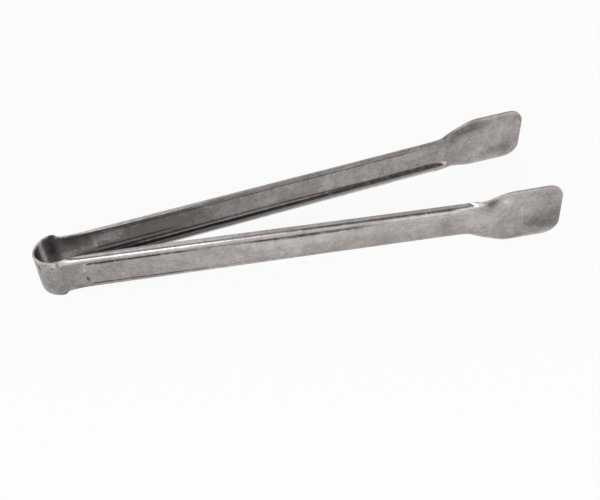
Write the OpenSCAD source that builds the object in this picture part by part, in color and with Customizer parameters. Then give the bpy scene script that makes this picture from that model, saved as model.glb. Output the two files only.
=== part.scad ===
// Spring serving tongs, pressed and bent from one strip of stainless sheet.
// A flat tall bow turns into two flanged, embossed arms that end in flared paddles.
// The tongs lie on their edges: +X runs from the bow to the tips, +Z is up.
// The left arm is at +Y. Stations are distances along the strip from the crown of the bow.

/* [Sheet] */
// Overall length, from the bow to the tips
length = 240; // [200:1:280]
// Thickness of the sheet
sheet_t = 1; // [0.8:0.05:1.2]
// Inside radius of the bend between an arm's face and its flange
bend_r = 0.8; // [0.6:0.1:1.2]

/* [Bow] */
// Outside radius of the bow
bow_r = 9.6; // [8:0.1:14]
// Height of the flat band at the crown of the bow
crown_h = 18.9; // [17:0.1:26]
// Height of the band at the ends of the bow
bow_h = 21; // [18:0.1:26]
// How far the strip turns past square at each end of the bow, which pinches the neck
neck_in = 9; // [0:0.5:14]
// Outside radius of the reverse curve at the neck
neck_r = 50; // [30:1:90]
// Distance from the start of the flanges to the end of the bow
fold_in = 1.4; // [0:0.1:3]
// Length over which the flanges fold up
fold_l = 4.4; // [3:0.1:8]
// Angle from the crown of the bow to the line where an arm flexes
flex_angle = 45; // [35:1:60]
// Width of the slit on that line
flex_gap = 0.15; // [0.12:0.01:0.2]

/* [Arms] */
// Angle of each arm from the middle plane, at rest
spread = 4.9; // [3:0.1:7]
// Height of an arm behind the bow
arm_w = 19.9; // [17:0.1:24]
// Height of an arm before its paddle
arm_w_end = 18.2; // [16.5:0.1:22]
// Depth of the flanges where they start, over the sheet
flange_d_bow = 2.3; // [2.2:0.1:4]
// Depth of the flanges along the handle
flange_d = 3.2; // [2.6:0.1:4]
// Length behind the panel's start over which they reach that depth
flange_grow = 22; // [10:1:40]
// Depth of the flanges before the paddle
flange_d_end = 3; // [2.4:0.1:4]

/* [Embossed panel] */
// Height of the panel
panel_w = 13.2; // [8:0.1:14]
// How far the panel stands out of the arm's face
panel_d = 0.5; // [0.2:0.05:0.8]
// Width of the slope round the panel
panel_slope = 0.9; // [0.6:0.1:1.5]
// Length over which the panel rises behind the bow
panel_rise = 1.8; // [1:0.1:4]
// Distance from the end of the bow to the panel
panel_from_bow = 12; // [10:0.5:30]
// Distance from the panel's faded end to the paddle
panel_to_paddle = 32; // [20:1:60]
// Length over which the panel fades into the face
panel_fade = 60; // [30:1:70]

/* [Paddles] */
// Height of a paddle
paddle_w = 30.6; // [26:0.1:40]
// Length of a paddle, its flare included
paddle_l = 40; // [34:1:56]
// Length of the flare from the arm to the paddle's full height
flare_l = 16.8; // [10:0.1:20]
// Radius of the paddle's corners
corner_r = 7.5; // [3:0.1:10]
// Length over which the flanges open out into the paddle
runout_l = 14; // [8:0.5:20]
// How much of that length lies in the flare
runout_in = 4; // [0:0.5:7]
// How far the flare steps a paddle out of the arm's face
paddle_out = 0.9; // [0:0.1:2]
// Depth of the paddle's dish
dish_d = 0.8; // [0:0.1:2]
// Angle by which a paddle is bent back in towards the other one
toe_in = 2.3; // [0.5:0.1:4]
// Outside radius of that bend
toe_r = 150; // [80:1:250]
// Angle by which the left paddle leans out at its lower edge, bent in use
left_lean = 4; // [0:0.5:8]

/* [Hidden] */
steel = [0.66, 0.65, 0.63];
bow_fn = 180;
bend_steps = 3;
bend_share_max = 0.9;
panel_clear = 0.3;
flat_deg = 0.5;

// Strip: the bend's developed length and the half widths of the flat blank
half_t = sheet_t / 2;
bend_l = (bend_r + half_t) * PI / 2;
bend_out = bend_r + sheet_t;
face_half = arm_w / 2 - bend_out;
face_half_end = arm_w_end / 2 - bend_out;
flange_start = bend_l - bend_out;
panel_half = min(panel_w / 2, face_half - panel_clear, face_half_end - panel_clear);

// Plan of the strip's outer face: bow arc, neck arc, straight arm, toe arc, straight paddle
arc_deg = 90 + neck_in;
neck_deg = neck_in + spread;
paddle_deg = spread - toe_in;
s_arc = bow_r * arc_deg * PI / 180;
s_neck = s_arc + neck_r * neck_deg * PI / 180;
toe_l = toe_r * toe_in * PI / 180;
arc_end = [bow_r * (1 - cos(arc_deg)), bow_r * sin(arc_deg)];
neck_end = arc_end + neck_r * [sin(spread) + sin(neck_in), cos(neck_in) - cos(spread)];
toe_step = toe_r * [sin(spread) - sin(paddle_deg), cos(paddle_deg) - cos(spread)];
flat_l = paddle_l - toe_l;
tip_lean = (sheet_t - paddle_out) * sin(paddle_deg);
arm_l = (length - tip_lean - neck_end[0] - toe_step[0] - flat_l * cos(paddle_deg)) / cos(spread);
arm_end = neck_end + arm_l * [cos(spread), sin(spread)];
toe_end = arm_end + toe_step;
s_paddle = s_neck + arm_l;
s_flat = s_paddle + toe_l;
s_tip = s_paddle + paddle_l;
s_flex = bow_r * flex_angle * PI / 180;
flex_gap_deg = flex_gap / (bow_r - half_t) * 180 / PI;
s_cut = s_flex + bow_r * flex_gap_deg / 2 * PI / 180;

// Other stations along the strip
s_ear = s_arc - fold_in;
s_fold = s_ear + fold_l;
s_panel = s_arc + panel_from_bow;
s_rise = s_panel + panel_rise;
s_full = s_rise + flange_grow;
s_panel_end = s_paddle - panel_to_paddle;
s_fade = s_panel_end - panel_fade;
s_open = s_paddle + runout_in;
s_runout = s_open - runout_l;
s_flare = s_paddle + flare_l;
s_corner = s_tip - corner_r;

// Smooth step from 0 at a to 1 at b
function ease(s, a, b) = let (k = max(0, min(1, (s - a) / (b - a)))) k * k * (3 - 2 * k);
function mix(a, b, k) = a + (b - a) * k;

// Point of the outer face in plan and its heading in degrees, at a station
function plan(s) =
    s < s_arc ? let (d = s / bow_r * 180 / PI)
        [bow_r * (1 - cos(d)), bow_r * sin(d), 90 - d]
    : s < s_neck ? let (d = (s - s_arc) / neck_r * 180 / PI - neck_in)
        [arc_end[0] + neck_r * (sin(d) + sin(neck_in)), arc_end[1] + neck_r * (cos(neck_in) - cos(d)), d]
    : s < s_paddle ?
        [neck_end[0] + (s - s_neck) * cos(spread), neck_end[1] + (s - s_neck) * sin(spread), spread]
    : s < s_flat ? let (d = spread - (s - s_paddle) / toe_r * 180 / PI)
        [arm_end[0] + toe_r * (sin(spread) - sin(d)), arm_end[1] + toe_r * (cos(d) - cos(spread)), d]
    : [toe_end[0] + (s - s_flat) * cos(paddle_deg), toe_end[1] + (s - s_flat) * sin(paddle_deg), paddle_deg];

// Half height of the bow's band, waisted at its crown, by its distance from the crown
function band(x) = mix(crown_h, bow_h, min(1, x / arc_end[0])) / 2;

// Fold angle of the flanges, half height of the flat face, and half width of the blank
function fold(s) = 90 * (ease(s, s_ear, s_fold) - ease(s, s_runout, s_open));
function along(s) = ease(s, s_fold, s_runout);
function face(s) = mix(face_half, face_half_end, along(s));
function depth_in(s) = mix(flange_d_bow, flange_d, ease(s, s_fold, s_full));
function flange(s) = flange_start + mix(depth_in(s), flange_d_end, along(s));
function corner(s) = s > s_corner ? corner_r - sqrt(max(0, corner_r ^ 2 - (s - s_corner) ^ 2)) : 0;
function blank(s) =
    s < s_paddle ? mix(band(plan(s)[0]), face(s) + flange(s), ease(s, s_ear, s_fold))
    : mix(face(s) + flange(s), paddle_w / 2, ease(s, s_paddle, s_flare)) - corner(s);

// How far the sheet stands out of the arm's face at u: embossed panel, paddle's step and dish
function emboss(s) =
    panel_d * (ease(s, s_panel, s_rise) - ease(s, s_fade, s_panel_end));
function panel(u) = max(0, min(1, (panel_half - abs(u)) / panel_slope));
function dish(u, s) = dish_d * max(0, 1 - (2 * u / paddle_w) ^ 2) * (1 - ease(s, s_flare, s_tip));
function proud(u, s) =
    emboss(s) * panel(u) + ease(s, s_paddle - toe_l, s_flare) * (paddle_out + dish(u, s));

// Middle of the sheet at u along the blank, as [depth, height, turn]: flat face, bend, flange
function sheet(u, s) =
    let (v = max(0, abs(u) - face(s)), f = fold(s), past = max(0, v - bend_l), depth = half_t - proud(u, s))
    f < flat_deg ? [depth, u, 0]
    : let (turn = f * min(1, v / bend_l), r = bend_l * 180 / PI / f)
        [depth + r * (1 - cos(turn)) + past * sin(f),
         sign(u) * (min(abs(u), face(s)) + r * sin(turn) + past * cos(f)), turn * sign(u)];

// A section across the strip: heights on the blank from edge to edge, then its two surfaces
function bend_share(s) = min(bend_share_max, bend_l / flange(s));
function edge_steps(s) = concat([for (i = [0:bend_steps]) bend_share(s) * i / bend_steps], [1]);
function reversed(list) = [for (i = [len(list) - 1:-1:0]) list[i]];
function half_heights(s) = concat([panel_half / 2, panel_half - panel_slope, panel_half],
    [for (k = edge_steps(s)) mix(face(s), blank(s), k)]);
function heights(s) = let (h = half_heights(s)) concat(-reversed(h), [0], h);
function skin(s, side) = [for (u = heights(s)) let (m = sheet(u, s))
    [m[0] - side * half_t * cos(m[2]), m[1] + side * half_t * sin(m[2])]];
function section(s) = concat(skin(s, 1), reversed(skin(s, -1)));

// A section placed in space, square to the strip, leaning about the paddle's upper edge
function placed(s, lean) =
    let (p = plan(s), slope = tan(lean) * ease(s, s_paddle, s_flare))
    [for (q = section(s)) let (depth = q[0] - slope * (paddle_w / 2 - q[1]))
        [p[0] + depth * sin(p[2]), p[1] - depth * cos(p[2]), q[1]]];

// Stations of an arm's sections: n steps from a to b, without b
function steps(a, b, n) = [for (i = [0:n - 1]) mix(a, b, i / n)];
function round_steps(a, b, n) = [for (i = [0:n]) mix(a, b, sin(90 * i / n))];
stations = concat(
    steps(s_cut, s_ear, 10),
    steps(s_ear, s_fold, 7),
    steps(s_fold, s_panel, 3),
    steps(s_panel, s_rise, 3),
    steps(s_rise, s_full, 4),
    steps(s_full, s_fade, 3),
    steps(s_fade, s_panel_end, 5),
    steps(s_panel_end, s_runout, 2),
    steps(s_runout, s_paddle, 7),
    steps(s_paddle, s_flare, 9),
    steps(s_flare, s_corner, 2),
    round_steps(s_corner, s_tip, 8));

// Closed skin through the placed sections
module arm_sheet(lean) {
    rings = [for (s = stations) placed(s, lean)];
    n = len(rings[0]);
    last = len(rings) - 1;
    sides = [for (i = [0:last - 1], j = [0:n - 1]) let (k = (j + 1) % n)
        each [[i * n + j, (i + 1) * n + j, (i + 1) * n + k], [i * n + j, (i + 1) * n + k, i * n + k]]];
    // an end cap is a row of quads between the outer and the inner surface of the sheet
    caps = [for (j = [0:n / 2 - 2]) let (k = n - 1 - j) each [[j, j + 1, k], [k, j + 1, k - 1]]];
    tip = [for (c = caps) [last * n + c[0], last * n + c[2], last * n + c[1]]];
    polyhedron([for (r = rings) each r], concat(sides, caps, tip), convexity = 8);
}

// From the crown's centre to the part's frame: middle of the length, paddles' lower edges at 0
module in_frame() {
    translate([-length / 2, 0, paddle_w / 2]) children();
}

module spring_bow() {
    crown_deg = flex_angle - flex_gap_deg / 2;
    strip_h = max(crown_h, bow_h);
    color(steel) in_frame() intersection() {
        translate([bow_r, 0, 0])
            rotate([0, 0, 180 - crown_deg])
                rotate_extrude(angle = 2 * crown_deg, $fn = bow_fn)
                    translate([bow_r - sheet_t, -strip_h / 2])
                        square([sheet_t, strip_h]);
        // the waist, as seen from the side
        rotate([90, 0, 0])
            linear_extrude(4 * bow_r, center = true)
                polygon([for (q = [[-1, -1], [1, -1], [1, 1], [-1, 1]])
                    [q[0] * bow_r, q[1] * band(q[0] * bow_r)]]);
    }
}

module left_arm() {
    color(steel) in_frame() arm_sheet(left_lean);
}

module right_arm() {
    color(steel) in_frame() mirror([0, 1, 0]) arm_sheet(0);
}

spring_bow();
left_arm();
right_arm();
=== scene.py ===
# %% [markdown]
# # Serving tongs bent from one strip
# These tongs are a single strip of stainless sheet, about 1 mm thick. A press cuts a flat blank with
# a wide paddle at each end, folds the edges of the handles into stiff flanges, raises a long shallow
# panel in each handle and dishes the paddles. Then the middle is bent round into a bow that springs.
# The lesson builds the press out of Geometry Nodes, lays a flat blank into it, gives the pressed sheet
# a wall, and ends with a worn satin finish and a plain studio.

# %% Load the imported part
import math

import bmesh
import bpy
import numpy as np
from mathutils import Matrix, Vector


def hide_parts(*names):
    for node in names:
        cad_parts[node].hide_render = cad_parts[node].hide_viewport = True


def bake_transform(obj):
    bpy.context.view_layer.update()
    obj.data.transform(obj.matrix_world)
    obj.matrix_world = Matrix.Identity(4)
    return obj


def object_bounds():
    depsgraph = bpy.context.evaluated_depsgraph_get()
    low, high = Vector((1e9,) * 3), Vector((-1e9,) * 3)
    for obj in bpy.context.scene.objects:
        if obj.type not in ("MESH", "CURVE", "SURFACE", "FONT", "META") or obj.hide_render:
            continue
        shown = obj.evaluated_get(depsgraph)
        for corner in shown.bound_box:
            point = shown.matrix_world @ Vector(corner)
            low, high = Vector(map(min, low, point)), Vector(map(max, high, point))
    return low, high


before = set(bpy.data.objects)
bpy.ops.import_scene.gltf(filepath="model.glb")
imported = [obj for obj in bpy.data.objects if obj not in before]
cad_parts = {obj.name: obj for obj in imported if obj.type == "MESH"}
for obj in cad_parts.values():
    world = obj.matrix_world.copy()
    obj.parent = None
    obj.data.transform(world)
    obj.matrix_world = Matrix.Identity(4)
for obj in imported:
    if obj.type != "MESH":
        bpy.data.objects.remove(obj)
cad_low, cad_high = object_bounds()
print("size in mm:", [round(1000 * (high - low), 1) for low, high in zip(cad_low, cad_high)])

# %% [markdown]
# ## The sizes that drive the strip
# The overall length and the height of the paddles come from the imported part, so the picture keeps to it.
# The rest could be read off its mesh, but named sizes are easier to follow and to change. They are what
# a press-tool maker would write down: bend radii, the depth of the flanges, where the panel starts and
# fades. Places along the strip are called stations. They are measured along the sheet from the top of
# the bow, because that is how the flat blank is laid out.

# %% Driving sizes
MM = 0.001
LENGTH = cad_high[0] - cad_low[0]
PADDLE_H = cad_high[2] - cad_low[2]
SHEET = 1.0 * MM

BOW_R = 9.6 * MM
CROWN_H, BOW_H = 18.9 * MM, 21 * MM
NECK_R = 50 * MM
NECK_IN = math.radians(9)
SPREAD = math.radians(4.9)
FOLD_IN = 1.4 * MM
FOLD_L = 4.4 * MM
BEND_R = 0.8 * MM

ARM_H, ARM_H_END = 19.9 * MM, 18.2 * MM
FLANGE_D_BOW, FLANGE_D, FLANGE_D_END = 2.3 * MM, 3.2 * MM, 3 * MM
FLANGE_GROW = 22 * MM

PANEL_H = 13.2 * MM
PANEL_D = 0.5 * MM
PANEL_SLOPE = 0.9 * MM
PANEL_RISE = 1.8 * MM
PANEL_FROM_BOW = 12 * MM
PANEL_TO_PADDLE = 32 * MM
PANEL_FADE = 60 * MM

PADDLE_L = 40 * MM
PADDLE_OUT = 0.9 * MM
DISH_D = 0.8 * MM
FLARE_L = 16.8 * MM
CORNER_R = 7.5 * MM
RUNOUT_L = 12.5 * MM
RUNOUT_IN = 5 * MM
TOE_IN = math.radians(2.3)
TOE_R = 150 * MM
LEFT_LEAN = math.radians(4)
print("sheet, bow radius and arm height in mm:", SHEET / MM, BOW_R / MM, ARM_H / MM)

# %% Lengths that follow from them
MID_BEND_L = (BEND_R + SHEET / 2) * math.pi / 2
BEND_OUT = BEND_R + SHEET
FACE, FACE_END = ARM_H / 2 - BEND_OUT, ARM_H_END / 2 - BEND_OUT

BOW_L = BOW_R * (math.pi / 2 + NECK_IN)
NECK_L = NECK_R * (NECK_IN + SPREAD)
TOE_L = TOE_R * TOE_IN
PADDLE_TURN = SPREAD - TOE_IN

neck_x = BOW_R * (1 + math.sin(NECK_IN)) + NECK_R * (math.sin(SPREAD) + math.sin(NECK_IN))
toe_x = TOE_R * (math.sin(SPREAD) - math.sin(PADDLE_TURN))
flat_x = (PADDLE_L - TOE_L) * math.cos(PADDLE_TURN)
tip_x = (SHEET - PADDLE_OUT) * math.sin(PADDLE_TURN)
ARM_L = (LENGTH - neck_x - toe_x - flat_x - tip_x) / math.cos(SPREAD)
print("straight of each arm in mm:", round(ARM_L / MM, 1))

# %% Stations along the strip
AT_EAR = BOW_L - FOLD_IN
AT_FOLD = AT_EAR + FOLD_L
AT_ARM = BOW_L + NECK_L
AT_PANEL = BOW_L + PANEL_FROM_BOW
AT_RAISED = AT_PANEL + PANEL_RISE
AT_FULL = AT_RAISED + FLANGE_GROW
AT_PADDLE = AT_ARM + ARM_L
AT_PANEL_END = AT_PADDLE - PANEL_TO_PADDLE
AT_FADE = AT_PANEL_END - PANEL_FADE
AT_OPEN = AT_PADDLE + RUNOUT_IN
AT_RUNOUT = AT_OPEN - RUNOUT_L
AT_FLARE = AT_PADDLE + FLARE_L
AT_TIP = AT_PADDLE + PADDLE_L
AT_CORNER = AT_TIP - CORNER_R
print("strip from tip to tip in mm:", round(2 * AT_TIP / MM, 1))

# %% [markdown]
# ## The press, written as arithmetic
# Each point of the blank has a station along the strip and a place across it. The press turns those
# two numbers into a point in space. Wiring more than two hundred nodes by hand would hide the rule, so a
# small class lets ordinary Python arithmetic add them. A Field is a value that every point has, and the
# same class serves the finish and the studio later.

# %% A Field: arithmetic that adds nodes
class Field:
    """A value at every point. Arithmetic on it adds Math nodes to the tree that it belongs to."""

    def __init__(self, socket):
        self.socket = socket

    def __add__(self, other):
        return math_node("ADD", self, other)

    def __sub__(self, other):
        return math_node("SUBTRACT", self, other)

    def __rsub__(self, other):
        return math_node("SUBTRACT", other, self)

    def __mul__(self, other):
        return math_node("MULTIPLY", self, other)

    def __truediv__(self, other):
        return math_node("DIVIDE", self, other)

    __radd__ = __add__
    __rmul__ = __mul__


def feed(socket, value):
    """Join a Field to a socket, or set a plain value on it."""
    if isinstance(value, Field):
        socket.id_data.links.new(value.socket, socket)
    else:
        socket.default_value = value


def math_node(operation, *values):
    """Add one Math node to the tree of its Fields and give the result as a Field."""
    tree = next(value.socket.id_data for value in values if isinstance(value, Field))
    node = tree.nodes.new("ShaderNodeMath")
    node.operation = operation
    for socket, value in zip(node.inputs, values):
        feed(socket, value)
    return Field(node.outputs[0])


press = bpy.data.node_groups.new("press_the_strip", "GeometryNodeTree")
press.is_modifier = True
print("empty press:", press.name)

# %% Helpers on Fields
def add(tree, kind, **inputs):
    """Add a node to a tree, and set or join its inputs. An underscore stands for a space in a name."""
    node = tree.nodes.new(kind)
    for name, value in inputs.items():
        feed(node.inputs[name.replace("_", " ")], value)
    return node


def ease(value, start, end, low=0.0, high=1.0):
    """Go smoothly from low to high while a Field goes from start to end."""
    node = value.socket.id_data.nodes.new("ShaderNodeMapRange")
    node.interpolation_type = "SMOOTHSTEP"
    for socket, item in zip(node.inputs, (value, start, end, low, high)):
        feed(socket, item)
    return Field(node.outputs[0])


def between(value, low, high):
    """Keep a number between two limits."""
    return math_node("MINIMUM", math_node("MAXIMUM", value, low), high)


def mix(first, second, share):
    """Go from one size to another."""
    return first + (second - first) * share


def ripple(x, y, waves, detail):
    """Slow irregular waves, about -0.5 to 0.5, at so many waves to the metre."""
    point = add(press, "ShaderNodeCombineXYZ", X=x, Y=y)
    noise = add(press, "ShaderNodeTexNoise", Vector=Field(point.outputs[0]), Scale=waves, Detail=detail)
    return Field(noise.outputs[0]) - 0.5


print("helpers:", [helper.__name__ for helper in (add, ease, between, mix, ripple)])

# %% Named inputs of the press
START_HEADING = math.pi / 2
WAVE = 0.03 * MM
PANEL_LATE = 2.45 * MM
SLOW_FOLD = 10 * MM
EDGE_LEAD, OPEN_LATE = 0.8, 4.2 * MM
DENT, DENT_PEAK, DENT_END = 1.65 * MM, 6 * MM, 19 * MM
CRINKLE = 0.25 * MM

PRESS_SIZES = {
    "Sheet": SHEET, "Length": LENGTH, "Paddle Height": PADDLE_H, "Paddle Step": PADDLE_OUT,
    "Bow Radius": BOW_R, "Bow Length": BOW_L, "Neck Radius": NECK_R, "Neck Length": NECK_L,
    "Arm Length": ARM_L, "Toe Radius": TOE_R, "Toe Length": TOE_L, "Start Heading": START_HEADING,
    "Neck In": NECK_IN, "Spread": SPREAD, "Face": FACE, "Face End": FACE_END,
    "Bend Length": MID_BEND_L, "Panel Height": PANEL_H, "Panel Depth": PANEL_D,
    "Panel Slope": PANEL_SLOPE, "Dish Depth": DISH_D, "Left Lean": LEFT_LEAN, "Wave": WAVE,
    "Panel Late": PANEL_LATE, "Slow Fold": SLOW_FOLD, "Edge Lead": EDGE_LEAD, "Open Late": OPEN_LATE,
    "Dent": DENT, "Dent Peak": DENT_PEAK, "Dent End": DENT_END, "Crinkle": CRINKLE,
    "At Ear": AT_EAR, "At Fold": AT_FOLD, "At Panel": AT_PANEL, "At Raised": AT_RAISED,
    "At Fade": AT_FADE, "At Panel End": AT_PANEL_END, "At Runout": AT_RUNOUT,
    "At Paddle": AT_PADDLE, "At Open": AT_OPEN, "At Flare": AT_FLARE, "At Tip": AT_TIP,
}

interface = press.interface
interface.new_socket("Geometry", in_out="INPUT", socket_type="NodeSocketGeometry")
for name in PRESS_SIZES:
    interface.new_socket(name, in_out="INPUT", socket_type="NodeSocketFloat")
interface.new_socket("Finish", in_out="INPUT", socket_type="NodeSocketMaterial")
interface.new_socket("Geometry", in_out="OUTPUT", socket_type="NodeSocketGeometry")

group_in = press.nodes.new("NodeGroupInput")
size = {name: Field(group_in.outputs[name]) for name in PRESS_SIZES}
print("inputs of the press:", len(PRESS_SIZES))

# %% Where each point lies on the flat blank
position = press.nodes.new("GeometryNodeInputPosition")
flat_place = add(press, "ShaderNodeSeparateXYZ", Vector=Field(position.outputs[0]))
signed_station = Field(flat_place.outputs["X"])
across = Field(flat_place.outputs["Y"])
station = math_node("ABSOLUTE", signed_station)
side = math_node("SIGN", signed_station)
half_across = math_node("ABSOLUTE", across)
print("nodes so far:", len(press.nodes))

# %% [markdown]
# ## Seen from above: bow, neck, arm and toe
# From above each half is a chain of an arc, a reverse arc, a straight, a slight arc and a straight. A
# section swept along a drawn curve could follow it too, but a sum of runs keeps every station at its true
# length of sheet. A run adds how far it has carried the point, and its length is clamped, so the chain is
# just a sum. The heading is the direction of the sheet, and it turns only in the arcs.

# %% The plan of the strip
def arc_run(start, length, radius, heading):
    """Follow an arc from a station: its step in x and y, and how far it has turned."""
    turn = between(station - start, 0.0, length) / radius
    step_x = radius * (math_node("SINE", heading + turn) - math_node("SINE", heading))
    step_y = radius * (math_node("COSINE", heading) - math_node("COSINE", heading + turn))
    return step_x, step_y, turn


def straight_run(start, length, heading):
    """Follow a straight from a station: its step in x and y."""
    step = between(station - start, 0.0, length)
    return step * math_node("COSINE", heading), step * math_node("SINE", heading)


neck_start = size["Neck In"] * -1.0
arm_start = size["Bow Length"] + size["Neck Length"]
flat_start = size["At Paddle"] + size["Toe Length"]
toe_turn = size["Toe Length"] / size["Toe Radius"]

bow = arc_run(0.0, size["Bow Length"], size["Bow Radius"] * -1.0, size["Start Heading"])
neck = arc_run(size["Bow Length"], size["Neck Length"], size["Neck Radius"], neck_start)
arm = straight_run(arm_start, size["Arm Length"], size["Spread"])
toe = arc_run(size["At Paddle"], size["Toe Length"], size["Toe Radius"] * -1.0, size["Spread"])
flat = straight_run(flat_start, size["At Tip"] - flat_start, size["Spread"] - toe_turn)

plan_x = bow[0] + neck[0] + arm[0] + toe[0] + flat[0]
plan_y = bow[1] + neck[1] + arm[1] + toe[1] + flat[1]
heading = bow[2] + neck[2] + toe[2] + size["Start Heading"]
print("nodes with the plan:", len(press.nodes))

# %% [markdown]
# ## Seen from the end: flanges, panel and dish
# Across the strip the sheet is flat in the bow, folds up to a channel in the handle, and opens flat again
# in the paddle. Separate sections could be lofted, but a fold whose angle grows and shrinks with the
# station gives every stage between them. The edge of the blank rolls round a bend of fixed length. On the
# right arm the upper edge folds slowly after the bow and opens late into the paddle, its free edge first.
# The panel and the dish push the face outwards by a fraction of a millimetre, and slow ripples stand for
# the unevenness of used sheet: without them steel looks like plastic.

# %% The fold of the edges
LEAST_FOLD = 0.001
EARLY_EAR = 1.0 * MM
OPEN_START = 0.7

upper_right = math_node("GREATER_THAN", across, 0.0) * math_node("LESS_THAN", signed_station, 0.0)
fold_end = size["At Fold"] + upper_right * size["Slow Fold"]
in_fold = ease(station, size["At Ear"] - upper_right * EARLY_EAR, fold_end)
edge_lead = upper_right * math_node("MAXIMUM", half_across - size["Face End"], 0.0) * size["Edge Lead"]
open_late = upper_right * size["Open Late"]
open_end = size["At Open"] + open_late
out_fold = ease(station + edge_lead, size["At Runout"] + open_late * OPEN_START, open_end)
fold = math_node("MAXIMUM", (in_fold - out_fold) * (math.pi / 2), LEAST_FOLD)

face = mix(size["Face"], size["Face End"], ease(station, size["At Fold"], size["At Runout"]))
face = face + open_late * ease(station, size["At Paddle"], open_end)
past_face = math_node("MAXIMUM", half_across - face, 0.0)
in_bend = math_node("MINIMUM", past_face, size["Bend Length"])
past_bend = math_node("MAXIMUM", past_face - size["Bend Length"], 0.0)
bend_radius = size["Bend Length"] / fold
bend_turn = in_bend / bend_radius

fold_depth = bend_radius * (1.0 - math_node("COSINE", bend_turn)) + past_bend * math_node("SINE", fold)
rolled = bend_radius * math_node("SINE", bend_turn) + past_bend * math_node("COSINE", fold)
half_height = math_node("MINIMUM", half_across, face) + rolled
height = half_height * math_node("SIGN", across)
print("nodes with the fold:", len(press.nodes))

# %% The panel, the dish and the ripples
ROUGH_START = 1.1 * MM
SIDE_SHIFT = 0.02
PANEL_SKEW = 0.55

rough_start = ripple(across, side * SIDE_SHIFT, waves=420.0, detail=2.0) * ROUGH_START
late = size["Panel Late"] * (side + PANEL_SKEW)
raised = ease(station + rough_start - late, size["At Panel"], size["At Raised"])
raised = raised - ease(station, size["At Fade"], size["At Panel End"])
panel_edge = (size["Panel Height"] * 0.5 - half_across) / size["Panel Slope"]
panel = size["Panel Depth"] * raised * between(panel_edge, 0.0, 1.0)

ratio = across * 2.0 / size["Paddle Height"]
bowl = math_node("MAXIMUM", 1.0 - ratio * ratio, 0.0) * size["Dish Depth"]
bowl = bowl * (1.0 - ease(station, size["At Flare"], size["At Tip"]))
spoon = ease(station, size["At Paddle"] - size["Toe Length"], size["At Flare"])
paddle = spoon * (size["Paddle Step"] + bowl)

wave = size["Wave"] * (0.5 - ripple(signed_station, across, waves=70.0, detail=2.0))
depth = size["Sheet"] * 0.5 - panel - paddle + wave + fold_depth

flared = ease(station, size["At Paddle"], size["At Flare"])
lean_in = math_node("TANGENT", size["Left Lean"]) * math_node("MAXIMUM", side, 0.0) * flared
depth = depth - lean_in * (size["Paddle Height"] * 0.5 - height)
print("nodes with the panel and dish:", len(press.nodes))

# %% [markdown]
# ## The dent in the bow and the crinkled ear
# Years of use have pushed in the upper edge of the bow, mostly on the right, and the sheet is crinkled
# where the upper flange of the right arm begins. Such marks could be sculpted by hand, but two more terms
# in the depth keep the wall even and give the same result each time.

# %% Dent and crinkle
DENT_AT_CROWN, DENT_LOW = 0.58, 0.04
DENT_HOLD = 1.8
DENT_SPAN = 0.35
EAR_BEFORE, EAR_AFTER = 4 * MM, 5 * MM
EAR_LOW, EAR_HIGH = 5 * MM, 8.5 * MM

to_right = signed_station * -1.0
dent = size["Dent"] * mix(DENT_AT_CROWN, 1.0, ease(to_right, 0.0, size["Dent Peak"]))
dent = dent * (1.0 - ease(to_right, size["Dent Peak"] * DENT_HOLD, size["Dent End"]))
dent = dent * (1.0 - ease(signed_station, 0.0, size["At Ear"]))
upward_share = ease(across, size["Paddle Height"] * -DENT_SPAN, size["Paddle Height"] * DENT_SPAN)
depth = depth + dent * mix(DENT_LOW, 1.0, upward_share)

at_ear = ease(to_right, size["At Ear"] - EAR_BEFORE, size["At Ear"])
at_ear = at_ear * (1.0 - ease(to_right, size["At Fold"], size["At Fold"] + EAR_AFTER))
at_ear = at_ear * ease(across, EAR_LOW, EAR_HIGH)
crinkle = 0.5 + ripple(signed_station, across, waves=520.0, detail=1.0)
depth = depth + size["Crinkle"] * at_ear * crinkle
print("nodes with the dent:", len(press.nodes))

# %% Set the points and close the tree
point_x = plan_x + depth * math_node("SINE", heading) - size["Length"] * 0.5
point_y = side * (plan_y - depth * math_node("COSINE", heading))
point_z = height + size["Paddle Height"] * 0.5

pressed = add(press, "ShaderNodeCombineXYZ", X=point_x, Y=point_y, Z=point_z)
set_position = press.nodes.new("GeometryNodeSetPosition")
realize = press.nodes.new("GeometryNodeRealizeInstances")
set_finish = press.nodes.new("GeometryNodeSetMaterial")
group_out = press.nodes.new("NodeGroupOutput")
press.links.new(group_in.outputs["Geometry"], set_position.inputs["Geometry"])
press.links.new(pressed.outputs[0], set_position.inputs["Position"])
press.links.new(set_position.outputs["Geometry"], realize.inputs["Geometry"])
press.links.new(realize.outputs["Geometry"], set_finish.inputs["Geometry"])
press.links.new(group_in.outputs["Finish"], set_finish.inputs["Material"])
press.links.new(set_finish.outputs["Geometry"], group_out.inputs["Geometry"])
print("nodes in the press:", len(press.nodes))

# %% [markdown]
# ## The flat blank
# The blank is a flat mesh with a wide end at each tip. An even grid would do, but its rows are better
# close together where the sheet will bend or step, and wide apart along the straight handle, so the faces
# go where the shape needs them. Its columns follow the lines of the folds. Its UV map is the flat sheet
# itself, in metres, so brush marks laid on it later run along the strip through every bend, as on real
# rolled sheet.

# %% The outline of the blank
EDGE_ROOM = 0.1 * MM


def smooth(value, start, end):
    """The same smooth step as ease, for plain numbers."""
    share = min(max((value - start) / (end - start), 0.0), 1.0)
    return share * share * (3 - 2 * share)


def face_at(at):
    """Half the height of the flat face between the folds."""
    share = smooth(at, AT_FOLD, AT_RUNOUT)
    return FACE + (FACE_END - FACE) * share


def band_at(at):
    """Half the height of the bow's band, which has a waist at its crown."""
    share = (1 - math.cos(at / BOW_R)) / (1 - math.cos(BOW_L / BOW_R))
    return (CROWN_H + (BOW_H - CROWN_H) * min(share, 1.0)) / 2


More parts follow.
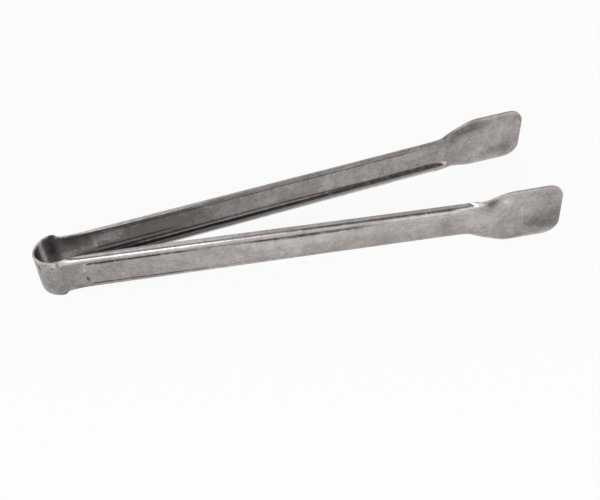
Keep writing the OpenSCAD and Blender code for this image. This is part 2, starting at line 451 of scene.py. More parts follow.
def channel_at(at):
    """Half the width of the blank where its edges become flanges."""
    depth = FLANGE_D_BOW + (FLANGE_D - FLANGE_D_BOW) * smooth(at, AT_FOLD, AT_FULL)
    depth += (FLANGE_D_END - depth) * smooth(at, AT_FOLD, AT_RUNOUT)
    return face_at(at) + MID_BEND_L - BEND_OUT + depth


def blank_at(at):
    """Half the width of the flat blank at a station."""
    channel = channel_at(at)
    if at < AT_PADDLE:
        return band_at(at) + (channel - band_at(at)) * smooth(at, AT_EAR, AT_FOLD)
    width = channel + (PADDLE_H / 2 - EDGE_ROOM - channel) * smooth(at, AT_PADDLE, AT_FLARE)
    if at > AT_CORNER:
        width -= CORNER_R - math.sqrt(max(CORNER_R ** 2 - (at - AT_CORNER) ** 2, 0.0))
    return width


print("width of the blank at the crown in mm:", round(2 * blank_at(0.0) / MM, 1))

# %% Rows and columns of the blank
ROW_STEPS = [
    (0.0, AT_EAR, 0.3 * MM), (AT_EAR, AT_FOLD, 0.2 * MM), (AT_FOLD, AT_PANEL - MM, 0.4 * MM),
    (AT_PANEL - MM, AT_RAISED + MM, 0.16 * MM), (AT_RAISED + MM, AT_RUNOUT, 1.0 * MM),
    (AT_RUNOUT, AT_FLARE, 0.35 * MM), (AT_FLARE, AT_CORNER, 0.6 * MM),
]
CORNER_ROWS = 26
COLUMN_COUNTS = (14, 5, 4, 9, 4, 2)
EDGE_BAND = 0.35 * MM
TIP_ROOM = 0.02 * MM

stations = []
for start, end, step in ROW_STEPS:
    count = math.ceil((end - start) / step)
    stations += list(np.linspace(start, end, count, endpoint=False))
for turn in np.linspace(0.0, math.pi / 2, CORNER_ROWS):
    stations.append(AT_CORNER + (CORNER_R - TIP_ROOM) * math.sin(turn))
signed_rows = [-at for at in stations[:0:-1]] + stations


def columns_at(at):
    """The places across one row, from the middle to the edge."""
    edge = blank_at(at)
    marks = [0.0, PANEL_H / 2 - PANEL_SLOPE, PANEL_H / 2, face_at(at), face_at(at) + MID_BEND_L]
    shrink = min(1.0, (edge - EDGE_BAND) / (marks[-1] + EDGE_BAND))
    marks = [mark * shrink for mark in marks] + [edge - EDGE_BAND, edge]
    places = []
    for low, high, count in zip(marks, marks[1:], COLUMN_COUNTS):
        places += list(np.linspace(low, high, count, endpoint=False))
    return places + [edge]


half_rows = [columns_at(abs(at)) for at in signed_rows]
rows = [[-place for place in half[:0:-1]] + half for half in half_rows]
columns = len(rows[0])
print("rows and columns of the blank:", len(rows), columns)

# %% Build the blank
points = [(at, place, 0.0) for at, row in zip(signed_rows, rows) for place in row]
faces = []
for i in range(len(rows) - 1):
    for j in range(columns - 1):
        corner = i * columns + j
        faces.append((corner, corner + columns, corner + columns + 1, corner + 1))

blank_mesh = bpy.data.meshes.new("blank")
blank_mesh.from_pydata(points, [], faces)
flat_uv = blank_mesh.uv_layers.new(name="flat_sheet")
for loop in blank_mesh.loops:
    flat_uv.data[loop.index].uv = points[loop.vertex_index][:2]
station_tag = blank_mesh.attributes.new("station", "FLOAT", "POINT")
station_tag.data.foreach_set("value", [point[0] for point in points])
across_tag = blank_mesh.attributes.new("across", "FLOAT", "POINT")
across_tag.data.foreach_set("value", [point[1] for point in points])
blank_mesh.polygons.foreach_set("use_smooth", [True] * len(blank_mesh.polygons))
strip = bpy.data.objects.new("strip", blank_mesh)
bpy.context.scene.collection.objects.link(strip)
print("faces of the blank:", len(faces))

# %% [markdown]
# ## Press the blank and give it a wall
# The press moves every point of the blank to its place. A second sheet could be pressed for the other
# face, but Solidify keeps the wall even on both sides of the middle, and Bevel takes the sharpness off
# the cut edges, as tumbling does in the factory. Solidify keeps the old points first and adds the new ones
# after them, so each point can be told to lie on the outer or the inner skin before the bevel mixes them.
# The dirt needs that later.

# %% Press the sheet
steel = bpy.data.materials.new("worn_satin_steel")
steel.use_nodes = True

press_step = strip.modifiers.new("press", "NODES")
press_step.node_group = press
for item in interface.items_tree:
    if item.item_type == "SOCKET" and item.in_out == "INPUT":
        if item.name in PRESS_SIZES:
            press_step[item.identifier] = PRESS_SIZES[item.name]
        elif item.name == "Finish":
            press_step[item.identifier] = steel


def settle(piece):
    """Make a piece's modifiers permanent in a plain mesh."""
    graph = bpy.context.evaluated_depsgraph_get()
    mesh = bpy.data.meshes.new_from_object(piece.evaluated_get(graph), depsgraph=graph)
    piece.modifiers.clear()
    piece.data = mesh
    return mesh


sheet_points = len(settle(strip).vertices)
print("points of the pressed sheet:", sheet_points)

# %% The wall and its two skins
wall = strip.modifiers.new("wall", "SOLIDIFY")
wall.thickness = SHEET
wall.offset = 0.0
wall.use_even_offset = True
wall_mesh = settle(strip)

places = np.empty(3 * len(wall_mesh.vertices), np.float32)
wall_mesh.vertices.foreach_get("co", places)
width = np.abs(places.reshape(-1, 3)[:, 1])
first_outside = width[:sheet_points].mean() > width[sheet_points:].mean()
skin_sign = np.where(np.arange(len(width)) < sheet_points, 1.0, -1.0)
skin_tag = wall_mesh.attributes.new("skin", "FLOAT", "POINT")
skin_tag.data.foreach_set("value", skin_sign if first_outside else -skin_sign)
print("points on both skins:", len(width))

# %% Rounded edges
EDGE_R = 0.22 * MM
EDGE_STEPS = 3
SHARP = math.radians(50)

rounding = strip.modifiers.new("rounding", "BEVEL")
rounding.width = EDGE_R
rounding.segments = EDGE_STEPS
rounding.limit_method = "ANGLE"
rounding.angle_limit = SHARP
strip_mesh = settle(strip)
print("faces of the strip:", len(strip_mesh.polygons))

# %% [markdown]
# ## Where dirt stays, where hands polish, and where shade and light are painted
# A used kitchen tool is not evenly dirty. Grime stays in the inside corners of the flanges, and painted
# shade darkens those corners and the steps of the panel, where shade falls. Painted dark lines stand in
# for reflections inside the far handle and along the near upper bend. The inside of the bow and the handle
# near it are tarnished, because nobody scrubs there, and painted shade darkens them more where the arms
# close in.
# The outer bends and the edges are rubbed bright, painted highlights brighten some bends, edges and steps,
# and the inner face of the lower flanges gets a whitish painted sheen. All this could be painted on an
# image by hand. Here it follows the strip, so it is worked out from the station and the place across, and
# kept as a number on every point for the finish to read.

# %% The points of the strip
def read_points(mesh, name):
    """One number for each point of a mesh, from its attribute."""
    values = np.empty(len(mesh.vertices), np.float32)
    mesh.attributes[name].data.foreach_get("value", values)
    return values


def step_up(value, start, end):
    """A smooth step from 0 to 1, for many points at once."""
    share = np.clip((value - start) / (end - start), 0.0, 1.0)
    return share * share * (3 - 2 * share)


signed_run = read_points(strip_mesh, "station")
placed = read_points(strip_mesh, "across")
outer = read_points(strip_mesh, "skin") > 0
run, off = np.abs(signed_run), np.abs(placed)

face_line = FACE + (FACE_END - FACE) * step_up(run, AT_FOLD, AT_RUNOUT)
bend_middle = face_line + 0.5 * MID_BEND_L
flange_root = face_line + MID_BEND_L
edge_line = np.array([blank_at(at) for at in run])

low_side = placed < 0
low_inside = low_side & ~outer
left_top = ~low_side & (signed_run > 0)
right_top = ~low_side & (signed_run < 0)
print("points on the outer skin:", int(outer.sum()), "of", len(outer))

# %% Soft shapes on the strip
def band(value, low, high, soft):
    """Full between two limits and soft outside them."""
    return step_up(value, low - soft, low) * (1 - step_up(value, high, high + soft))


def stripe(line, low, high, soft):
    """A stripe that follows a line of the strip, with its limits in millimetres from that line."""
    return band(off, line + low * MM, line + high * MM, soft * MM)


def along(start, end, soft):
    """A stretch between two stations in millimetres, soft at both ends."""
    return band(run, start * MM, end * MM, soft * MM)


def grow(start, end):
    """From 0 to 1 between two stations in millimetres."""
    return step_up(run, start * MM, end * MM)


def only(where, values):
    """Keep a mark on some of the points."""
    return np.where(where, values, 0.0)


forward = grow(100, 150)
panel_start = step_up(run, AT_PANEL, AT_RAISED)
panel_length = panel_start * (1 - step_up(run, AT_FADE, AT_PANEL_END))
print("share of the points on the panel's length:", round(float(panel_length.mean()), 2))

# %% Grime and painted shade inside: the grooves, the foot of the panel, a painted reflection and a highlight
GROOVE_GRIME_AND_SHADE, FOOT_GRIME_AND_SHADE, REFLECTION_LINE_DARK = 0.8, 0.6, 0.85
REFLECTION_LINE_AT, REFLECTION_LINE_FROM = 3.1 * MM, 33 * MM
STEP_LIGHT_CLEARS_GRIME = 0.8

groove_top = PANEL_H / 2 + (0.3 - 1.3 * forward) * MM
groove_foot = face_line + (0.5 - 0.25 * along(45, 85, 15)) * MID_BEND_L
groove = band(off, groove_top, groove_foot, 0.5 * MM) * (1 - 0.1 * forward)
groove_mid = face_line + 0.35 * MID_BEND_L
round_end = run + 0.8 * (off - groove_mid) ** 2 / MM
low_end = 1 - step_up(round_end, AT_OPEN - 6.2 * MM, AT_OPEN - 4.8 * MM)
top_end = 1 - step_up(run, AT_RUNOUT - 14 * MM, AT_RUNOUT)
groove_length = step_up(run, AT_FOLD - 2 * MM, AT_FOLD + 2 * MM) * np.where(low_side, low_end, top_end)

panel_foot = stripe(PANEL_H / 2 - PANEL_SLOPE, -0.35, 0.05, 0.25)
# Grime and painted shade darken the groove of each lower flange and the foot of the panel, where shade
# falls.
inner_grime_and_shade = np.maximum(GROOVE_GRIME_AND_SHADE * groove * groove_length, FOOT_GRIME_AND_SHADE * panel_foot * panel_length)
# Painted reflection: a dark line along the inside of the far handle stands in for the near arm's edge
# mirrored there.
reflection_line = stripe(REFLECTION_LINE_AT, -0.2, 0.2, 0.4) * along(35, 62, 12)
inner_grime_and_shade = np.maximum(inner_grime_and_shade, REFLECTION_LINE_DARK * only(low_side & (signed_run > REFLECTION_LINE_FROM), reflection_line))
# Painted highlight: a light line on the lower step of the panel, inside, which also clears the grime under
# it.
painted_step_highlight = only(low_inside, stripe(PANEL_H / 2, -0.25, 0.05, 0.2) * along(70, 130, 30))
inner_grime_and_shade = inner_grime_and_shade * (1 - STEP_LIGHT_CLEARS_GRIME * painted_step_highlight)
print("grime inside, mean:", round(float(inner_grime_and_shade.mean()), 3))

# %% Painted shade along the lines of the panel, and a painted dark reflection on the bend
BEND_REFLECTION_DARK, FAR_RIM_SHADE = 0.75, 0.5

widening = grow(100, 130)
line_from = PANEL_H / 2 - np.where(low_side, 0.2, 0.65 + 0.25 * widening) * MM
line_width = np.where(low_side, 0.8, 0.55 + 0.6 * widening) * MM
# Painted shade: dark lines along the upper and lower steps of the panel on the outer face.
panel_step_shade = band(off, line_from, line_from + line_width, 0.25 * MM)
low_fade = 0.9 * (1 - 0.8 * grow(55, 100)) * panel_length
top_fade = panel_start * (1 - grow(143, 166))
top_fade = top_fade * (0.95 - 0.4 * along(84, 95, 12) - 0.1 * widening)
outer_painted_dark = panel_step_shade * np.where(low_side, low_fade, top_fade)

# Painted reflection: a dark line along the middle of the near arm's upper bend, towards the paddle.
bend_reflection_length = grow(110, 135) * (1 - step_up(run, AT_RUNOUT - 3 * MM, AT_RUNOUT + 2 * MM))
bend_dark_reflection = stripe(bend_middle, -0.15, 0.35, 0.3) * bend_reflection_length
outer_painted_dark = np.maximum(outer_painted_dark, BEND_REFLECTION_DARK * only(right_top, bend_dark_reflection))

far_length = along(36, 74, 12)
# Painted shade on the edge of the far arm's upper flange, where the shadow under the flange shows.
far_rim_shade = step_up(off, edge_line - 0.12 * MM, edge_line - 0.04 * MM) * far_length
# The grime numbers hold grime, painted shade and painted dark reflections.
grime_and_shade = np.where(outer, outer_painted_dark, inner_grime_and_shade)
grime_and_shade = np.maximum(grime_and_shade, FAR_RIM_SHADE * only(left_top, far_rim_shade))
print("grime outside, mean:", round(float(outer_painted_dark.mean()), 3))

# %% Tarnish and painted shade
INNER_TARNISH_AND_SHADE, INNER_NEAR_BOW = 0.36, 0.72
OUTER_NEAR_BOW, OUTER_LOW_SHADE, LEFT_FLANGES, RIGHT_LOW_BEND_SHADE = 0.40, 0.22, 0.55, 0.6
PADDLE_CLEANER, FLANGE_CLEANER = 0.3, 0.3

# Tarnish and painted shade darken the inner skin, most near the bow, where the arms close in on each
# other.
inner_tarnish_and_shade = INNER_TARNISH_AND_SHADE + INNER_NEAR_BOW * (1 - grow(30, 145))
inner_tarnish_and_shade *= 1 - PADDLE_CLEANER * step_up(run, AT_RUNOUT, AT_FLARE)

outer_tarnish_and_shade = OUTER_NEAR_BOW * (1 - grow(20, 125))
# Painted shade: the outer face gets darker towards the bottom, from the middle of the handle on.
outer_tarnish_and_shade += OUTER_LOW_SHADE * step_up(-placed, -4 * MM, 9 * MM) * grow(100, 170)
outer_tarnish_and_shade += LEFT_FLANGES * step_up(off, face_line, flange_root) * step_up(signed_run, 0.0, 60 * MM)
# Painted shade on the lower bend of the right arm, next to the bow.
low_bend_shade = step_up(-placed, face_line - 0.5 * MM, bend_middle) * along(26, 50, 20)
outer_tarnish_and_shade += RIGHT_LOW_BEND_SHADE * only(signed_run < 0, low_bend_shade)
clean_flange = step_up(off, face_line + 0.6 * MID_BEND_L, flange_root) * along(34, 80, 14)
outer_tarnish_and_shade *= 1 - FLANGE_CLEANER * only(left_top, clean_flange)
tarnish_and_shade = np.where(outer, outer_tarnish_and_shade, inner_tarnish_and_shade)
print("tarnish before the stains, mean:", round(float(tarnish_and_shade.mean()), 3))

# %% [markdown]
# ## Single stains, dark marks, rubbed spots and painted light
# Besides the marks that follow a fold, a used strip has stains, dark marks and bright spots of its own.
# Many rows here are painted shade and painted highlights instead: on the paddles, round the ears, at the
# start of the panel and inside the bow.
# They could be painted too, but a short table is easier to read and to change. Each mark is a soft oval on
# one skin of one arm. A row gives its station, its place across, its half length and half height in
# millimetres, and its strength. A negative stain is a cleaner place.

# %% Tables of single marks
LEFT, RIGHT = 1, -1
OUTSIDE, INSIDE = True, False
SPOT_FALL, SPOT_POWER = 2, 1.5
MOST_TARNISH = 1.3

STAINS_SHADE_AND_LIGHT = {
    # On the near paddle, from station 212 on, the rows paint the shade of its dish and flare.
    (RIGHT, OUTSIDE): (
        (242, -3, 15, 10, 0.6), (237, -9, 9, 5, 0.3), (193, -2, 3, 5, 0.25), (212, 8, 6, 4, 0.4),
        (128, 2, 14, 5, -0.3), (172, 4, 12, 5, -0.3), (205, 0, 8, 6, -0.2), (17, -4, 9, 8, 0.3),
        (241, 9, 13, 8, 0.35), (231, -4, 8, 8, 0.25), (213.5, 11.5, 4.5, 3.5, 0.8),
        (222, -14, 18, 2.5, 0.35), (27, -9.5, 8, 3, 0.35),
    ),
    # On the far paddle, from station 210 on, the rows paint its shade; inside the bow they paint shade,
    # and the row at 8 with negative strength paints a pale stripe of light.
    (LEFT, INSIDE): (
        (235, -9, 10, 4, 0.4), (219, 11, 12, 6, 0.75), (14, 5, 5, 8, 0.5), (8, 4, 2.4, 10, -1.0),
        (20, -4, 6, 5, -0.55), (41, 4, 9, 6, -0.6), (70, 1, 24, 8, 0.3), (210, 6, 7, 6, 0.4),
        (238, 11, 10, 4, 0.25), (224, -8, 4, 4, -0.3), (38, -5, 16, 4.5, 0.35),
        (240, -6, 6, 4.5, 0.12), (195, -2, 12, 6, 0.2), (27.8, -1, 4, 2.6, -0.4),
    ),
}
DARK_MARKS_AND_SHADE = {
    # Most rows here paint shade: in the crinkles and under the ears, at the start of the panel and along
    # the lower edge, and on the flare of the near paddle.
    (RIGHT, OUTSIDE): (
        (6.5, 5.6, 1.2, 2.2, 0.7), (14.8, 7, 0.9, 0.9, 0.6), (16.8, -10, 3, 1.4, 0.55),
        (17.6, 9, 1, 1.8, 0.7), (21, 7.7, 5.5, 0.45, 0.45), (27, -8.7, 7, 0.7, 0.5),
        (28.5, -3.3, 0.9, 2.2, 0.8), (28.6, 0.5, 0.5, 5, 0.25), (212.5, 11.2, 4, 3, 0.28),
    ),
    # On the far arm the rows paint shade: on the top of the ear, inside the bow and in the groove near it.
    (LEFT, OUTSIDE): ((15.5, 10, 2.5, 1.2, 0.6), (24, 11, 7, 1, 0.6)),
    (LEFT, INSIDE): (
        (2, 0, 4, 14, 0.85), (10.4, -3, 1.5, 5, 0.5), (13, 1, 4.3, 13, 0.75),
        (15.5, 10, 3, 1.5, 0.8), (23, 6, 6, 4, 0.35), (28, -5.7, 10, 2.5, 0.72),
    ),
}
RUBBED_SPOTS_AND_HIGHLIGHTS = {
    # Most rows here are painted highlights and glints: on the near ear, at the start of the panel, along
    # the upper face, where the near flange runs out and on the near paddle's flare.
    (RIGHT, OUTSIDE): (
        (22.4, 9.1, 4.6, 2.1, 0.9), (28.3, 2.6, 0.7, 1.4, 0.6), (132, 3.5, 36, 5, 0.28),
        (183, 5.6, 12, 1.3, 0.4), (207, 10.2, 5, 1.8, 0.9), (219.5, 10.3, 1.5, 1, 0.9),
        (220, 9.5, 5.5, 3.5, 0.4),
    ),
    # Inside the far arm they paint a pale stripe in the bow and a highlight at the start of the panel.
    (LEFT, INSIDE): ((8, 3, 1.5, 9, 0.1), (33.2, -1.5, 1, 3.5, 0.22), (34.6, 8.5, 1.8, 1.6, 0.3)),
}


def spots(table):
    """The marks of a table one by one, as numbers on the points."""
    for (arm_side, outside), marks in table.items():
        here = (np.sign(signed_run) == arm_side) & (outer == outside)
        for at, place, length, height, strength in marks:
            away = ((run / MM - at) / length) ** 2 + ((placed / MM - place) / height) ** 2
            yield strength * only(here, np.exp(-SPOT_FALL * away ** SPOT_POWER))


for spot in spots(STAINS_SHADE_AND_LIGHT):
    tarnish_and_shade = tarnish_and_shade + spot
tarnish_and_shade = np.clip(tarnish_and_shade, 0.0, MOST_TARNISH)
for spot in spots(DARK_MARKS_AND_SHADE):
    grime_and_shade = np.maximum(grime_and_shade, spot)
print("tarnish with the stains, mean:", round(float(tarnish_and_shade.mean()), 3))

# %% Rubbed bends and edges, and painted highlights
BEND_RUB, HANDLE_RUB, LOW_SHARE = 0.15, 0.35, 0.3
EDGE_RUB, CUT_RUB, FAR_EDGE_LIGHT = 0.3, 0.8, 0.6
PAINTED_STEP_LIGHT, UNDER_BEND_LIGHT, NEAR_FLANGE_LIGHT = 0.5, 0.8, 0.4

bend_share = BEND_RUB + HANDLE_RUB * (1 - grow(70, 110))
bend_length = band(run, AT_FOLD - 3 * MM, AT_RUNOUT, 3 * MM) * bend_share
bend_line = band(off, face_line, flange_root, 0.5 * MM)
bend_rub = only(outer, bend_line * bend_length * np.where(low_side, LOW_SHARE, 1.0))
# Painted highlights: a light band just under the near upper bend by the paddle, and a lighter stretch of
# the near upper flange.
under_bend_highlight = stripe(face_line, -0.2, 0.3, 0.3) * along(172, 196, 10)
near_flange_sheen = step_up(off, flange_root - 0.3 * MM, flange_root + 0.2 * MM) * along(66, 82, 10)

edge_rub = EDGE_RUB * step_up(off, edge_line - 0.9 * MM, edge_line - 0.4 * MM)
edge_rub = edge_rub * (1 - only(~low_side, band(run, AT_FOLD, AT_RUNOUT, 8 * MM)))
cut_edge = step_up(off, edge_line - 0.35 * MM, edge_line - 0.15 * MM)
cut_edge = cut_edge * band(run, AT_FOLD, AT_RUNOUT, 4 * MM)
# Painted highlights: a light line along the far arm's upper flange edge, and a light rim round the end of
# the far groove.
far_edge_highlight = stripe(edge_line, -0.45, -0.2, 0.25) * far_length
groove_end_highlight = band(round_end, AT_OPEN - 4.5 * MM, AT_OPEN - 3.6 * MM, 0.5 * MM) * stripe(0.0, 6.6, 9, 0.6)

polish_and_highlight = np.maximum.reduce([
    bend_rub, edge_rub, CUT_RUB * only(low_side, cut_edge), FAR_EDGE_LIGHT * only(left_top, far_edge_highlight),
    only(low_inside, groove_end_highlight), PAINTED_STEP_LIGHT * painted_step_highlight, UNDER_BEND_LIGHT * only(outer & right_top, under_bend_highlight),
    NEAR_FLANGE_LIGHT * only(outer & right_top, near_flange_sheen), *spots(RUBBED_SPOTS_AND_HIGHLIGHTS),
])
tarnish_and_shade = tarnish_and_shade * (1 - np.clip(polish_and_highlight, 0.0, 1.0))
print("polish, highest:", round(float(polish_and_highlight.max()), 2))

# %% Painted sheen on the lower flanges, and all marks kept on the points
# Painted sheen: the inner face of the lower flanges gets a whitish, non-metal layer for the light it
# catches from above.
sheen_from = groove_foot + (0.4 + 0.15 * forward) * MM
lower_flange_sheen = step_up(off, sheen_from, sheen_from + 0.5 * MM)
lower_flange_sheen = only(low_inside, lower_flange_sheen * band(run, AT_FOLD, AT_RUNOUT + 6.5 * MM, 3 * MM))

for name, values in (("grime_and_shade", grime_and_shade), ("tarnish_and_shade", tarnish_and_shade), ("polish_and_highlight", polish_and_highlight), ("lower_flange_sheen", lower_flange_sheen)):
    tag = strip_mesh.attributes.new(name, "FLOAT", "POINT")
    tag.data.foreach_set("value", values.astype(np.float32))
    print(name, "mean", round(float(values.mean()), 3))

# %% [markdown]
# ## Two halves
# The real strip is one piece. It is cut at the top of the bow here, because each half has to follow its
# own arm when the tongs are squeezed. The cut could be hidden under a third piece, but the crown stays
# still in every pose, so two halves that meet there show no seam.

# %% Cut the strip at the top of the bow
def half_strip(name, arm_side):
    """Keep one half of the strip as a plain mesh of its own."""
    mesh = strip_mesh.copy()
    mesh.name = name
    half = bmesh.new()
    half.from_mesh(mesh)
    other = [face for face in half.faces if face.calc_center_median().y * arm_side < 0]
    bmesh.ops.delete(half, geom=other, context="FACES")
    half.to_mesh(mesh)
    half.free()
    piece = bpy.data.objects.new(name, mesh)
    bpy.context.scene.collection.objects.link(piece)
    return piece


left_half = half_strip("left_half", LEFT)
right_half = half_strip("right_half", RIGHT)
bpy.data.objects.remove(strip)
for piece in (left_half, right_half):
    print(piece.name, "triangles:", sum(len(face.vertices) - 2 for face in piece.data.polygons))

# %% [markdown]
# ## A worn satin finish
# Rolled stainless sheet is brushed along its length when it is made, then years of use cover it with
# short scratches, stains and small pits. A plain grey metal shader looks like plastic because nothing
# breaks the reflection, so the finish varies at three sizes: stains of about a centimetre, brush marks
# and scratches under half a millimetre, and single specks. Brush marks read the flat UV map, so they
# follow the strip round the bow. Stains read the object's own coordinates.

# %% Helpers for the finish
finish = steel.node_tree
surface = finish.nodes["Principled BSDF"]
on_object = Field(finish.nodes.new("ShaderNodeTexCoord").outputs["Object"])
sheet_map = finish.nodes.new("ShaderNodeUVMap")
sheet_map.uv_map = "flat_sheet"
on_sheet = Field(sheet_map.outputs["UV"])


def patches(place, waves, detail, roughness=0.5):
    """Irregular patches from 0 to 1, at so many waves to the metre."""
    node = add(finish, "ShaderNodeTexNoise", Vector=place, Scale=waves, Detail=detail, Roughness=roughness)
    return Field(node.outputs[0])


def streaks(waves_along, waves_across, turn, detail, roughness=0.5):
    """Patches drawn out along the sheet and turned by an angle, such as brush marks."""
    drawn = add(finish, "ShaderNodeMapping", Vector=on_sheet, Scale=(waves_along, waves_across, 1.0),
                Rotation=(0.0, 0.0, turn))
    return patches(Field(drawn.outputs["Vector"]), 1.0, detail, roughness)


def blend_colours(share, first, second):
    """Mix two colours."""
    node = finish.nodes.new("ShaderNodeMix")
    node.data_type = "RGBA"
    colour_inputs = [socket for socket in node.inputs if socket.type == "RGBA"]
    for socket, value in zip([node.inputs[0]] + colour_inputs, (share, first, second)):
        feed(socket, value)
    return Field([socket for socket in node.outputs if socket.type == "RGBA"][0])


def kept(name):
    """A number that was kept on the points of the strip."""
    node = finish.nodes.new("ShaderNodeAttribute")
    node.attribute_name = name
    return Field(node.outputs["Fac"])


print("brush marks read the map", sheet_map.uv_map)

# %% Patterns on the sheet
stains = patches(on_object, 70.0, 5.0, 0.6)
clouds = patches(on_object, 260.0, 4.0, 0.65)
tints = patches(on_object, 38.0, 2.0)
grain = patches(on_object, 850.0, 3.0, 0.6)
brush = streaks(35.0, 1500.0, 0.0, 3.0, 0.7)
scratch_one = ease(streaks(90.0, 1500.0, 0.35, 2.0), 0.66, 0.74)
scratch_two = ease(streaks(110.0, 1700.0, -0.5, 2.0), 0.68, 0.76)
scratches = math_node("MAXIMUM", scratch_one, scratch_two)
pits = ease(patches(on_object, 1100.0, 2.0), 0.70, 0.78)
cloudy = stains * 0.35 + clouds * 0.3 + grain * 0.35
print("nodes of the patterns:", len(finish.nodes))

# %% Colour
CLEAN = (0.525, 0.495, 0.483, 1.0)
STAINED = (0.335, 0.311, 0.302, 1.0)
BROWNED = (0.36, 0.315, 0.285, 1.0)
TARNISH_AND_SHADE_DARK = (0.15, 0.138, 0.132, 1.0)
RUBBED_AND_HIGHLIGHT = (0.80, 0.775, 0.765, 1.0)
GRIME_AND_SHADE_DARK = (0.035, 0.031, 0.027, 1.0)
LIGHT_SHEEN_GREY = (0.92, 0.91, 0.90, 1.0)
SHEEN_COVER = 0.95

# The tarnish number holds tarnish and painted shade, and some stains in it are painted shade and light.
tarnish_and_shade_share = kept("tarnish_and_shade") * ease(cloudy, 0.36, 0.60, 0.72, 1.10)
# The polish number holds rubbed metal and painted highlights and glints.
rubbed_and_highlight_share = kept("polish_and_highlight") * ease(clouds, 0.3, 0.6, 1.0, 0.6)
painted_sheen = kept("lower_flange_sheen")
# The grime number holds grime, painted shade and painted dark reflections; pits use the same dark colour.
dirt_and_shade = kept("grime_and_shade") * ease(clouds, 0.3, 0.55, 0.7, 1.0)

colour = blend_colours(ease(cloudy, 0.40, 0.62), CLEAN, STAINED)
colour = blend_colours(ease(brush, 0.40, 0.70, 0.0, 0.45), colour, STAINED)
colour = blend_colours(ease(tints, 0.54, 0.72, 0.0, 0.5), colour, BROWNED)
colour = blend_colours(tarnish_and_shade_share, colour, TARNISH_AND_SHADE_DARK)
colour = blend_colours(scratches * 0.25, colour, CLEAN)
colour = blend_colours(rubbed_and_highlight_share, colour, RUBBED_AND_HIGHLIGHT)
colour = blend_colours(painted_sheen * SHEEN_COVER, colour, LIGHT_SHEEN_GREY)
colour = blend_colours(pits * 0.6, colour, GRIME_AND_SHADE_DARK)
colour = blend_colours(dirt_and_shade, colour, GRIME_AND_SHADE_DARK)
feed(surface.inputs["Base Color"], colour)
print("nodes with the colour:", len(finish.nodes))

# %% Roughness and relief
ROUGH_CLEAN, ROUGH_STAINED = 0.30, 0.44
ROUGH_BRUSH, ROUGH_POLISH_AND_HIGHLIGHT, ROUGH_DIRT_AND_SHADE, ROUGH_SHEEN = 0.08, 0.10, 0.25, 0.35
RELIEF_SHARE, RELIEF_DEPTH = 0.35, 0.00012

rough = ease(cloudy, 0.35, 0.65, ROUGH_CLEAN, ROUGH_STAINED) + brush * ROUGH_BRUSH
rough = rough - kept("polish_and_highlight") * ROUGH_POLISH_AND_HIGHLIGHT + dirt_and_shade * ROUGH_DIRT_AND_SHADE + painted_sheen * ROUGH_SHEEN
feed(surface.inputs["Roughness"], rough)
# Where the painted sheen lies, the surface is no longer metal.
feed(surface.inputs["Metallic"], 1.0 - painted_sheen * SHEEN_COVER)

relief = brush * 0.35 + scratches * -0.5 - pits + clouds * 0.8
bumps = add(finish, "ShaderNodeBump", Height=relief, Strength=RELIEF_SHARE, Distance=RELIEF_DEPTH)
feed(surface.inputs["Normal"], Field(bumps.outputs["Normal"]))
print("nodes of the finish:", len(finish.nodes))

# %% [markdown]
# ## How the bow bends
# On the real tongs nothing pivots: a squeeze bends the thin strip round its bow, and it springs back. The
# imported part stands for that with a hinge at each side of the bow. Here the two halves of the strip are
# only baked in place, and the imported arms and bow are hidden.

# %% Bake the halves in place and hide the imported arms and bow
for piece, body, keep in ((left_half, "left_arm", 1), (right_half, "right_arm", -1)):
    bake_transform(piece)
    print(piece.name, "bends from spring_bow to", body)
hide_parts("left_arm", "spring_bow")
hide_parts("right_arm")

# %% [markdown]
# ## A studio for steel
# Bare steel has little colour of its own: it shows what stands around it, so the studio is half of the
# finish. The tongs lie on white paper, and both paddles and bow touch it. The paddles are taller than the
# bow, so the floor slopes a little under them. Two soft boxes in front draw the bright lines along the
# rounded bends, one for the handle and one for the end by the paddle, and leave the dull stretch between
# them. The room is dark in front and pale behind, which shades the inside of the far arm. More light would
# make the paper white too, but it would wash out the steel, so the paper glows only for the camera and for
# mirror rays.

# %% Floor
FLOOR_HALF = 3.0
REST_X, BACK_X = 0.1, -0.115
FLOOR_ROOM = 0.1 * MM

floor_slope = (PADDLE_H - BOW_H) / 2 / (BACK_X - REST_X)
corners = []
for x, y in ((-1, -1), (1, -1), (1, 1), (-1, 1)):
    far_x = x * FLOOR_HALF
    corners.append((far_x, y * FLOOR_HALF, floor_slope * (far_x - REST_X) - FLOOR_ROOM))
floor_mesh = bpy.data.meshes.new("floor")
floor_mesh.from_pydata(corners, [], [(0, 1, 2, 3)])
floor = bpy.data.objects.new("floor", floor_mesh)
bpy.context.scene.collection.objects.link(floor)
print("slope of the floor in degrees:", round(math.degrees(math.atan(floor_slope)), 2))

# %% White paper on the floor
SEEN_WHITE, MIRRORED_WHITE = 0.92, 0.95
PAPER = (0.9, 0.9, 0.9, 1.0)

paper = bpy.data.materials.new("white_paper")
paper.use_nodes = True
floor_mesh.materials.append(paper)
sheet_nodes = paper.node_tree
sheet_nodes.nodes.clear()
paper_rays = sheet_nodes.nodes.new("ShaderNodeLightPath").outputs
glow_share = Field(paper_rays["Is Camera Ray"]) * SEEN_WHITE
glow_share = glow_share + Field(paper_rays["Is Glossy Ray"]) * MIRRORED_WHITE
lit = add(sheet_nodes, "ShaderNodeBsdfDiffuse", Color=PAPER)
glow = add(sheet_nodes, "ShaderNodeEmission", Strength=1.0)
paper_mix = sheet_nodes.nodes.new("ShaderNodeMixShader")
for socket, source in zip(paper_mix.inputs, (glow_share, Field(lit.outputs[0]), Field(glow.outputs[0]))):
    feed(socket, source)
add(sheet_nodes, "ShaderNodeOutputMaterial", Surface=Field(paper_mix.outputs[0]))
print("nodes of the paper:", len(sheet_nodes.nodes))

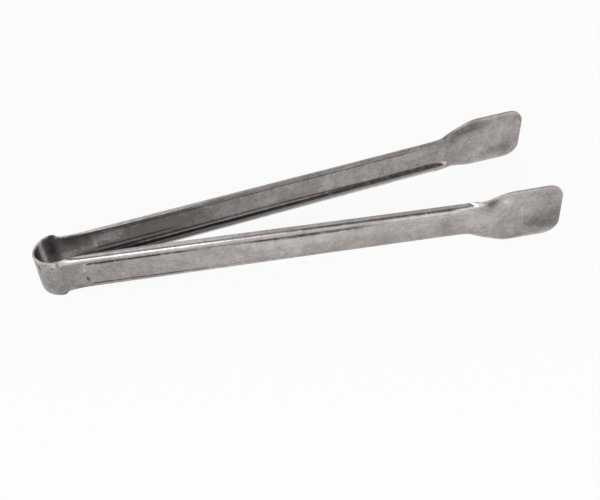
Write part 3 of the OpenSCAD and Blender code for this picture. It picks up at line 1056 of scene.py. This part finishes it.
# %% Lights
def soft_box(name, turn, rise, distance, width, height, radiance):
    """A soft box round the tongs: degrees to the right of the front, degrees up, and metres away."""
    turn, rise = math.radians(turn), math.radians(rise)
    towards = Vector((math.sin(turn) * math.cos(rise), -math.cos(turn) * math.cos(rise), math.sin(rise)))
    data = bpy.data.lights.new(name, "AREA")
    data.shape = "RECTANGLE"
    data.size, data.size_y = width, height
    data.energy = radiance * math.pi * width * height
    lamp = bpy.data.objects.new(name, data)
    lamp.location = distance * towards
    lamp.rotation_euler = (-towards).to_track_quat("-Z", "Y").to_euler()
    lamp.visible_camera = False
    bpy.context.scene.collection.objects.link(lamp)
    print(name, "power in W:", round(data.energy, 2))


soft_box("left_box", turn=-27, rise=22, distance=0.95, width=0.55, height=0.45, radiance=5.0)
soft_box("right_box", turn=19, rise=25, distance=0.95, width=0.30, height=0.52, radiance=4.5)

# %% The room
FRONT_DARK, BACK_RIGHT, BACK_LEFT = 0.14, 0.62, 1.2
DARK_TO, PALE_FROM = -0.38, 0.34
RIGHT_FROM, LEFT_FROM = 0.35, -0.35

world = bpy.data.worlds.new("studio_air")
world.use_nodes = True
bpy.context.scene.world = world
air = world.node_tree
room = air.nodes["Background"]
room.inputs["Color"].default_value = (1.0, 1.0, 1.0, 1.0)
outward = Field(air.nodes.new("ShaderNodeTexCoord").outputs["Generated"])
direction = add(air, "ShaderNodeSeparateXYZ", Vector=outward)
behind = ease(Field(direction.outputs["Y"]), DARK_TO, PALE_FROM)
leftward = ease(Field(direction.outputs["X"]), RIGHT_FROM, LEFT_FROM, BACK_RIGHT, BACK_LEFT)
room_light = (leftward - FRONT_DARK) * behind + FRONT_DARK
room_rays = air.nodes.new("ShaderNodeLightPath").outputs
feed(room.inputs["Strength"], math_node("MAXIMUM", room_light, Field(room_rays["Is Camera Ray"])))
print("nodes of the room:", len(air.nodes))

# %% [markdown]
# ## Camera
# The camera looks down on the tongs at about 48 degrees, from a little to one side, and is close enough
# that the near paddle looks larger than the far one. Its place and focal length were found by laying the
# outline of the model over the picture until the two agreed. A slight roll keeps the slope of the handles.

# %% Camera
VIEW_DOWN = math.radians(48.49)
VIEW_TURN = math.radians(5.613)
VIEW_ROLL = math.radians(-7.25)
VIEW_DISTANCE = 422.54 * MM
VIEW_AIM = Vector((cad_low[0] + 119.64 * MM, -20.489 * MM, PADDLE_H / 2))
FOCAL_PIXELS, PICTURE_WIDTH, SENSOR = 934.71, 600, 36.0
NEAREST = 0.01

look = Vector((math.sin(VIEW_TURN) * math.cos(VIEW_DOWN),
               math.cos(VIEW_TURN) * math.cos(VIEW_DOWN), -math.sin(VIEW_DOWN)))
level = Vector((math.cos(VIEW_TURN), -math.sin(VIEW_TURN), 0.0))
upright = level.cross(look)
right = math.cos(VIEW_ROLL) * level + math.sin(VIEW_ROLL) * upright
upward = math.cos(VIEW_ROLL) * upright - math.sin(VIEW_ROLL) * level

camera_data = bpy.data.cameras.new("camera")
camera_data.sensor_width = SENSOR
camera_data.lens = FOCAL_PIXELS * SENSOR / PICTURE_WIDTH
camera_data.clip_start = NEAREST
camera = bpy.data.objects.new("camera", camera_data)
turned = Matrix((right, upward, -look)).transposed()
camera.matrix_world = Matrix.Translation(VIEW_AIM - VIEW_DISTANCE * look) @ turned.to_4x4()
bpy.context.scene.collection.objects.link(camera)
bpy.context.scene.camera = camera
bpy.context.scene.view_settings.view_transform = "Standard"
print("focal length in mm:", round(camera_data.lens, 2))
